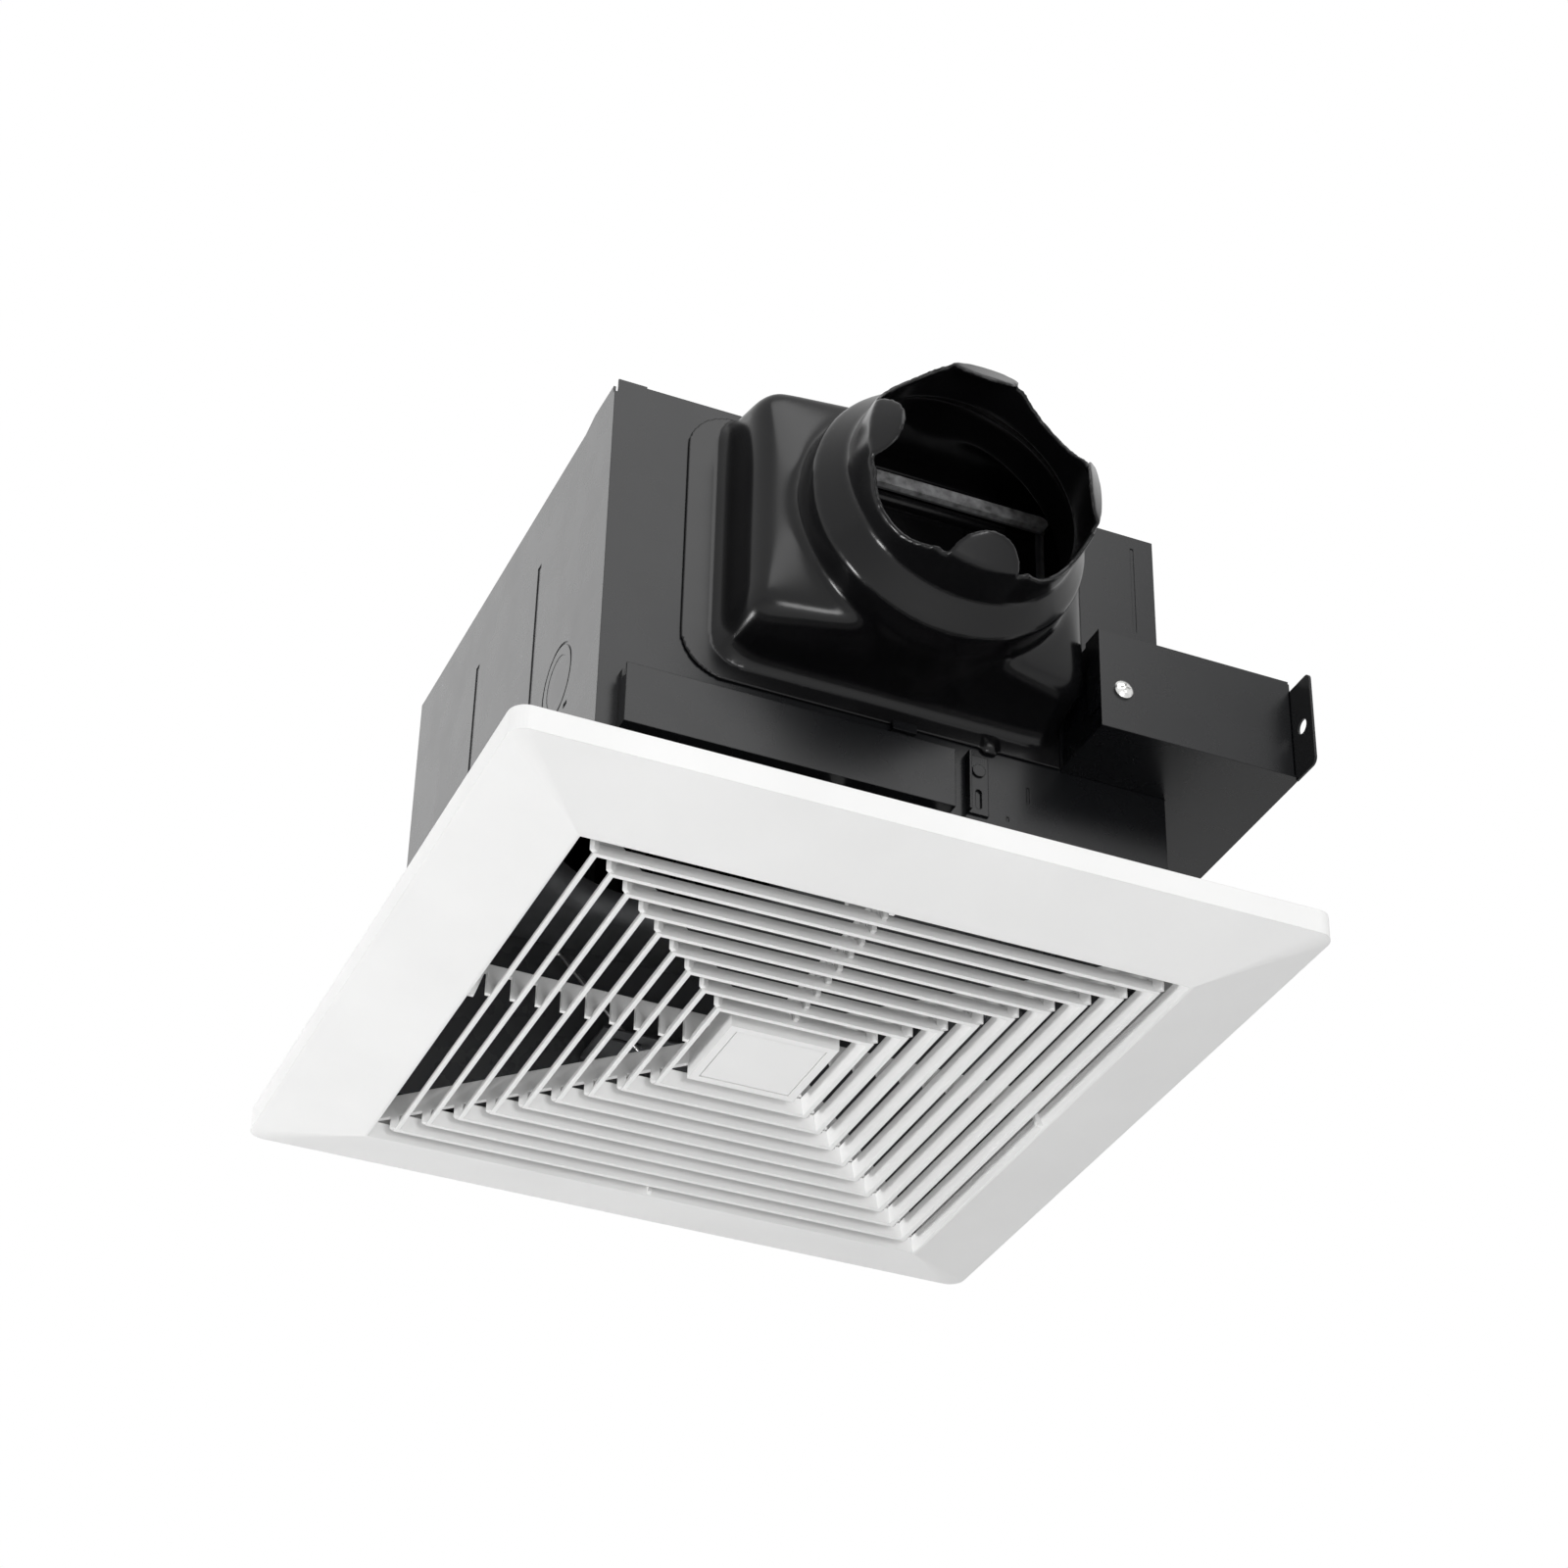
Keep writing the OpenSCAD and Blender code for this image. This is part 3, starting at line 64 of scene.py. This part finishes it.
# %% The finish recipe
TONE_LOW, TONE_HIGH = 0.3, 0.7
BEVEL_SAMPLES = 4
BUMP_DEPTH = 0.0002
GLOSS_FINER = 3


def node_at(tree, kind, x, y):
    node = tree.nodes.new(kind)
    node.location = (x, y)
    return node


def noise_at(tree, coords, scale, detail, x, y):
    noise = node_at(tree, "ShaderNodeTexNoise", x, y)
    noise.inputs["Scale"].default_value = scale
    noise.inputs["Detail"].default_value = detail
    tree.links.new(coords, noise.inputs["Vector"])
    return noise


def bare_inside(tree, coords, patches, half_width, dark, light):
    parts = node_at(tree, "ShaderNodeSeparateXYZ", -780, 640)
    tree.links.new(coords, parts.inputs["Vector"])
    sides = []
    for row, axis in enumerate(("X", "Y")):
        side = node_at(tree, "ShaderNodeMath", -600, 700 - 160 * row)
        side.operation = "ABSOLUTE"
        tree.links.new(parts.outputs[axis], side.inputs[0])
        sides.append(side)
    widest = node_at(tree, "ShaderNodeMath", -440, 640)
    widest.operation = "MAXIMUM"
    inner = node_at(tree, "ShaderNodeMath", -280, 640)
    inner.operation = "LESS_THAN"
    inner.inputs[1].default_value = half_width
    for slot, side in enumerate(sides):
        tree.links.new(side.outputs[0], widest.inputs[slot])
    tree.links.new(widest.outputs[0], inner.inputs[0])
    return inner.outputs[0], two_tones(tree, patches, dark, light, -560, 480)


def two_tones(tree, patches, dark, light, x, y):
    ramp = node_at(tree, "ShaderNodeValToRGB", x, y)
    ramp.color_ramp.elements[0].position = TONE_LOW
    ramp.color_ramp.elements[0].color = (*dark, 1)
    ramp.color_ramp.elements[1].position = TONE_HIGH
    ramp.color_ramp.elements[1].color = (*light, 1)
    tree.links.new(patches.outputs["Fac"], ramp.inputs["Fac"])
    return ramp.outputs["Color"]


def make_finish(name, dark, light, rough, metallic=0.0, patch=30.0, grain=900.0, relief=0.05,
                edge=0.0004, specular=0.5, inside=None):
    finish = bpy.data.materials.new(name)
    finish.use_nodes = True
    tree = finish.node_tree
    surface = tree.nodes["Principled BSDF"]
    coords = node_at(tree, "ShaderNodeTexCoord", -1000, 0).outputs["Object"]
    patches = noise_at(tree, coords, patch, 3.0, -780, 200)
    tone = two_tones(tree, patches, dark, light, -560, 260)
    if inside:
        where, inner_tone = bare_inside(tree, coords, patches, *inside)
        both = node_at(tree, "ShaderNodeMix", -200, 360)
        both.data_type = "RGBA"
        tree.links.new(where, both.inputs["Factor"])
        tree.links.new(tone, both.inputs["A"])
        tree.links.new(inner_tone, both.inputs["B"])
        tone = both.outputs["Result"]
    tree.links.new(tone, surface.inputs["Base Color"])
    gloss = noise_at(tree, coords, patch * GLOSS_FINER, 4.0, -780, -60)
    spread = node_at(tree, "ShaderNodeMapRange", -560, -20)
    spread.inputs["To Min"].default_value = rough[0]
    spread.inputs["To Max"].default_value = rough[1]
    tree.links.new(gloss.outputs["Fac"], spread.inputs["Value"])
    tree.links.new(spread.outputs["Result"], surface.inputs["Roughness"])
    rounded = node_at(tree, "ShaderNodeBevel", -560, -420)
    rounded.samples = BEVEL_SAMPLES
    rounded.inputs["Radius"].default_value = edge
    fine = noise_at(tree, coords, grain, 2.0, -780, -300)
    bump = node_at(tree, "ShaderNodeBump", -340, -320)
    bump.inputs["Strength"].default_value = relief
    bump.inputs["Distance"].default_value = BUMP_DEPTH
    tree.links.new(fine.outputs["Fac"], bump.inputs["Height"])
    tree.links.new(rounded.outputs["Normal"], bump.inputs["Normal"])
    tree.links.new(bump.outputs["Normal"], surface.inputs["Normal"])
    surface.inputs["Metallic"].default_value = metallic
    surface.inputs["Specular IOR Level"].default_value = specular
    return finish


print("finish recipe ready")

# %% [markdown]
# ## The finishes
# The grille is satin white moulding, a touch warm. The adapter is black moulding with a clear gloss.
# The housing, wiring box and rail channel share a smooth charcoal coating on steel, which is nearly
# black where nothing bright is mirrored in it and mid grey at a grazing look. Its gloss is weaker
# than that of lacquer, so the specular level is low. What is inside is dull zinc-coated sheet, drawn
# wire and bright screws.

# %% Mix the finishes
HOUSING_HALF = 0.1190
FINISHES = {
    "white_plastic": make_finish("white_moulding", (0.84, 0.84, 0.835), (0.89, 0.89, 0.885),
                                 (0.42, 0.52), patch=12, grain=1500, relief=0.04, edge=0.0005),
    "black_plastic": make_finish("black_moulding", (0.003, 0.003, 0.0035), (0.005, 0.005, 0.0055),
                                 (0.18, 0.24), patch=25, grain=1200, relief=0.01, edge=0.0006,
                                 specular=0.28),
    "grey_paint": make_finish("dark_coating", (0.004, 0.0043, 0.005), (0.006, 0.0064, 0.0075),
                              (0.24, 0.31), patch=18, grain=1100, relief=0.012, edge=0.0005,
                              specular=0.28, inside=(HOUSING_HALF, (0.09, 0.092, 0.096),
                                                     (0.12, 0.122, 0.126))),
    "zinc_sheet": make_finish("zinc_coat", (0.13, 0.133, 0.138), (0.18, 0.184, 0.19), (0.42, 0.56),
                              metallic=0.5, patch=70, grain=600, relief=0.08),
    "spring_steel": make_finish("drawn_wire", (0.45, 0.45, 0.45), (0.60, 0.60, 0.60), (0.25, 0.35),
                                metallic=1.0, patch=120, grain=2500, relief=0.10, edge=0.0001),
    "bright_steel": make_finish("plated_steel", (0.62, 0.62, 0.61), (0.74, 0.74, 0.73), (0.18, 0.28),
                                metallic=1.0, patch=150, grain=2000, relief=0.05, edge=0.0002),
    "copper_winding": make_finish("varnished_winding", (0.26, 0.09, 0.03), (0.42, 0.16, 0.06),
                                  (0.25, 0.40), metallic=0.4, patch=90, grain=700, relief=0.5),
    "grey_foam": make_finish("open_foam", (0.16, 0.16, 0.16), (0.42, 0.42, 0.43), (0.85, 0.95),
                             patch=260, grain=900, relief=1.0, specular=0.2),
    "rubber": make_finish("soft_rubber", (0.018, 0.018, 0.018), (0.030, 0.030, 0.030), (0.55, 0.70),
                          patch=60, grain=900, relief=0.15),
    "green_plating": make_finish("earth_green", (0.02, 0.18, 0.05), (0.04, 0.26, 0.08), (0.30, 0.40),
                                 metallic=0.5, patch=150, grain=2000, relief=0.05, edge=0.0002),
    "ivory_plastic": make_finish("ivory_moulding", (0.62, 0.59, 0.49), (0.70, 0.67, 0.57), (0.40, 0.50),
                                 patch=50, grain=1500, relief=0.05),
}
print(len(FINISHES), "finishes")

# %% [markdown]
# ## Each solid gets its finish
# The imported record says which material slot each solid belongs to, so the solids are dressed from
# that list and none is forgotten.

# %% Dress the solids
slot_of = {entry["node"]: entry["material_slot"] for entry in frame["record"]["subparts"]}


def dress(solid, finish):
    solid.data.materials.clear()
    solid.data.materials.append(finish)


for node_name, solid in frame["nodes"].items():
    dress(solid, FINISHES[slot_of[node_name]])
print(len(frame["nodes"]), "solids dressed")

# %% [markdown]
# ## Duct adapter: soft edges
# The real adapter is one black moulding, and the mould has drawn every edge between the square hood
# and the round boss soft, so that highlights run along the ridges in broad streaks. A bevel can't
# follow a ridge that fades out. So the solid is rebuilt from small even faces with a voxel remesh,
# and then each point is pulled towards the mean of its neighbours, round after round. A weight for
# each point says how far it gives way: the hood most, the boss and collar a little, and the flange
# on the wall hardly at all.

# %% Remesh the adapter
import numpy as np


def even_copy(solid, name, voxel):
    piece = bpy.data.objects.new(name, solid.data.copy())
    bpy.context.scene.collection.objects.link(piece)
    net = piece.modifiers.new("even_faces", "REMESH")
    net.mode = "VOXEL"
    net.voxel_size = voxel
    net.use_smooth_shade = True
    bpy.context.view_layer.update()
    depsgraph = bpy.context.evaluated_depsgraph_get()
    rebuilt = bpy.data.meshes.new_from_object(piece.evaluated_get(depsgraph))
    piece.modifiers.clear()
    piece.data = rebuilt
    return piece


VOXEL = 0.0009
adapter = even_copy(frame["nodes"]["duct_adapter"], "adapter_moulding", VOXEL)
print("adapter:", len(adapter.data.vertices), "points")


# %% Relax the adapter
def points_of(mesh):
    flat = np.empty(3 * len(mesh.vertices))
    mesh.vertices.foreach_get("co", flat)
    return flat.reshape(-1, 3)


def edges_of(mesh):
    flat = np.empty(2 * len(mesh.edges), dtype=int)
    mesh.edges.foreach_get("vertices", flat)
    return flat.reshape(-1, 2)


def relax(points, edges, give, rounds):
    ends = np.concatenate([edges[:, 0], edges[:, 1]])
    others = np.concatenate([edges[:, 1], edges[:, 0]])
    count = np.bincount(ends, minlength=len(points))
    for _ in range(rounds):
        for axis in range(3):
            mean = np.bincount(ends, points[others, axis], len(points)) / count
            points[:, axis] += 0.5 * give * (mean - points[:, axis])
    return points


COLLAR_X, COLLAR_Z = 0.003, 0.1363
FLANGE_FRONT = 0.1207
FLANGE_SNAP = 0.0004
HOOD_STARTS, HOOD_FULL = 0.1209, 0.1240
HOOD_ENDS, BOSS_STARTS = 0.1560, 0.1600
BOSS_ENDS, COLLAR_STARTS = 0.1830, 0.1900
ROUND_REACH = 0.060
RELAX_ROUNDS = 60
spots = points_of(adapter.data)
depth = -spots[:, 1]
radius = np.hypot(spots[:, 0] - COLLAR_X, spots[:, 2] - COLLAR_Z)
on_hood = np.interp(depth, [HOOD_STARTS, HOOD_FULL], [0.0, 1.0])
round_depths = [HOOD_ENDS, BOSS_STARTS, BOSS_ENDS, COLLAR_STARTS]
on_round = np.interp(depth, round_depths, [1.0, 0.30, 0.20, 0.10])
on_rest = np.interp(depth, [HOOD_ENDS, BOSS_STARTS], [1.0, 0.5])
give = on_hood * np.where(radius < ROUND_REACH, on_round, on_rest)
spots = relax(spots, edges_of(adapter.data), give, RELAX_ROUNDS)
on_flange = np.abs(depth - FLANGE_FRONT) < FLANGE_SNAP
spots[:, 1] = np.where(on_flange, -FLANGE_FRONT, spots[:, 1])
low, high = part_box("duct_adapter")
spots = np.clip(spots, low, high)
adapter.data.vertices.foreach_set("co", spots.ravel())
adapter.data.update()
dress(adapter, FINISHES["black_plastic"])
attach(adapter, "housing")
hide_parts("duct_adapter")
print("adapter relaxed")

# %% [markdown]
# ## Studio
# The fan hangs in a white room over a pale floor, which takes its faint shadow. The world is plain
# white to the camera and to glossy and transmitted rays, and dimmer as a light; the floor is lifted
# for the same rays, so that it looks pale from above and keeps its shadow. Four soft panels do the
# rest at a plain level. A small one low on the left draws the bright streaks on the adapter, a
# low one in front reaches into the louvres, a large one high in front is what the front walls mirror,
# and a weak one behind is mirrored by the left wall.


# %% White room
def any_view_ray(tree, rays):
    first = node_at(tree, "ShaderNodeMath", -60, 320)
    first.operation = "MAXIMUM"
    both = node_at(tree, "ShaderNodeMath", 80, 320)
    both.operation = "MAXIMUM"
    tree.links.new(rays.outputs["Is Camera Ray"], first.inputs[0])
    tree.links.new(rays.outputs["Is Glossy Ray"], first.inputs[1])
    tree.links.new(first.outputs[0], both.inputs[0])
    tree.links.new(rays.outputs["Is Transmission Ray"], both.inputs[1])
    return both.outputs[0]


def make_pale_floor(name, shade, lift):
    pale = bpy.data.materials.new(name)
    pale.use_nodes = True
    tree = pale.node_tree
    surface = tree.nodes["Principled BSDF"]
    surface.inputs["Base Color"].default_value = (shade, shade, shade, 1)
    surface.inputs["Roughness"].default_value = 0.9
    glow = node_at(tree, "ShaderNodeEmission", 0, -200)
    glow.inputs["Strength"].default_value = lift
    lifted = node_at(tree, "ShaderNodeAddShader", 200, -100)
    tree.links.new(surface.outputs["BSDF"], lifted.inputs[0])
    tree.links.new(glow.outputs["Emission"], lifted.inputs[1])
    pick = node_at(tree, "ShaderNodeMixShader", 400, 0)
    rays = node_at(tree, "ShaderNodeLightPath", -300, 400)
    tree.links.new(any_view_ray(tree, rays), pick.inputs["Fac"])
    tree.links.new(surface.outputs["BSDF"], pick.inputs[1])
    tree.links.new(lifted.outputs["Shader"], pick.inputs[2])
    tree.links.new(pick.outputs["Shader"], tree.nodes["Material Output"].inputs["Surface"])
    return pale


FLOOR_Z = -0.95
FLOOR_HALF = 12.0
FLOOR_SHADE, FLOOR_LIFT = 0.82, 0.50
AMBIENT, BACKDROP = 0.38, 1.0
floor_mesh = bpy.data.meshes.new("floor")
sheet = bmesh.new()
bmesh.ops.create_grid(sheet, x_segments=8, y_segments=8, size=FLOOR_HALF)
bmesh.ops.translate(sheet, verts=sheet.verts, vec=(0, 0, FLOOR_Z))
sheet.to_mesh(floor_mesh)
sheet.free()
floor = bpy.data.objects.new("floor", floor_mesh)
bpy.context.scene.collection.objects.link(floor)
floor.data.materials.append(make_pale_floor("pale_floor", FLOOR_SHADE, FLOOR_LIFT))

world = bpy.data.worlds.new("room")
bpy.context.scene.world = world
world.use_nodes = True
air = world.node_tree
air.nodes.clear()
seen = node_at(air, "ShaderNodeLightPath", -400, 200)
ambient = node_at(air, "ShaderNodeBackground", -200, 0)
ambient.inputs["Color"].default_value = (1, 1, 1, 1)
ambient.inputs["Strength"].default_value = AMBIENT
backdrop = node_at(air, "ShaderNodeBackground", -200, -150)
backdrop.inputs["Color"].default_value = (1, 1, 1, 1)
backdrop.inputs["Strength"].default_value = BACKDROP
choose = node_at(air, "ShaderNodeMixShader", 0, 0)
sky = node_at(air, "ShaderNodeOutputWorld", 200, 0)
air.links.new(any_view_ray(air, seen), choose.inputs["Fac"])
air.links.new(ambient.outputs["Background"], choose.inputs[1])
air.links.new(backdrop.outputs["Background"], choose.inputs[2])
air.links.new(choose.outputs["Shader"], sky.inputs["Surface"])
print("white room with its floor at", FLOOR_Z)


# %% Soft panels
def soft_panel(name, place, target, size, watts):
    lamp = bpy.data.lights.new(name, "AREA")
    lamp.shape = "RECTANGLE"
    lamp.size, lamp.size_y = size
    lamp.energy = watts
    panel = bpy.data.objects.new(name, lamp)
    panel.location = place
    panel.rotation_euler = (Vector(target) - Vector(place)).to_track_quat("-Z", "Y").to_euler()
    bpy.context.scene.collection.objects.link(panel)


soft_panel("key_panel", (-1.45, 0.25, -0.85), (0, 0, 0), (0.40, 0.40), 17)
soft_panel("front_panel", (-0.05, -1.50, 1.30), (0, 0, 0.10), (1.8, 1.2), 19)
soft_panel("low_front_panel", (0.0, -1.80, -0.58), (0, 0, 0), (0.5, 0.5), 9)
soft_panel("back_panel", (-0.75, 1.60, 1.25), (0, 0, 0.08), (1.2, 1.2), 2.6)
print("four soft panels")

# %% [markdown]
# ## Camera
# The photograph looks up at the fan from the left front. Its place and direction were worked out from
# the straight edges of the grille and of the housing.

# %% Camera
eye = Vector((-0.4622, -1.1231, -0.7096))
forward = Vector((0.3187, 0.7639, 0.5611)).normalized()
up = Vector((-0.2373, -0.5088, 0.8275))
right = forward.cross(up).normalized()
up = right.cross(forward).normalized()
SENSOR_MM, LENS_MM = 36.0, 80.64
lens = bpy.data.cameras.new("photo_camera")
lens.sensor_width = SENSOR_MM
lens.lens = LENS_MM
camera = bpy.data.objects.new("photo_camera", lens)
turn = Matrix((right, up, -forward)).transposed().to_4x4()
camera.matrix_world = Matrix.Translation(eye) @ turn
bpy.context.scene.collection.objects.link(camera)
bpy.context.scene.camera = camera
bpy.context.scene.view_settings.view_transform = "Standard"
print("camera stands", round((eye - Vector((0, 0, 0.08))).length, 3), "m from the fan")
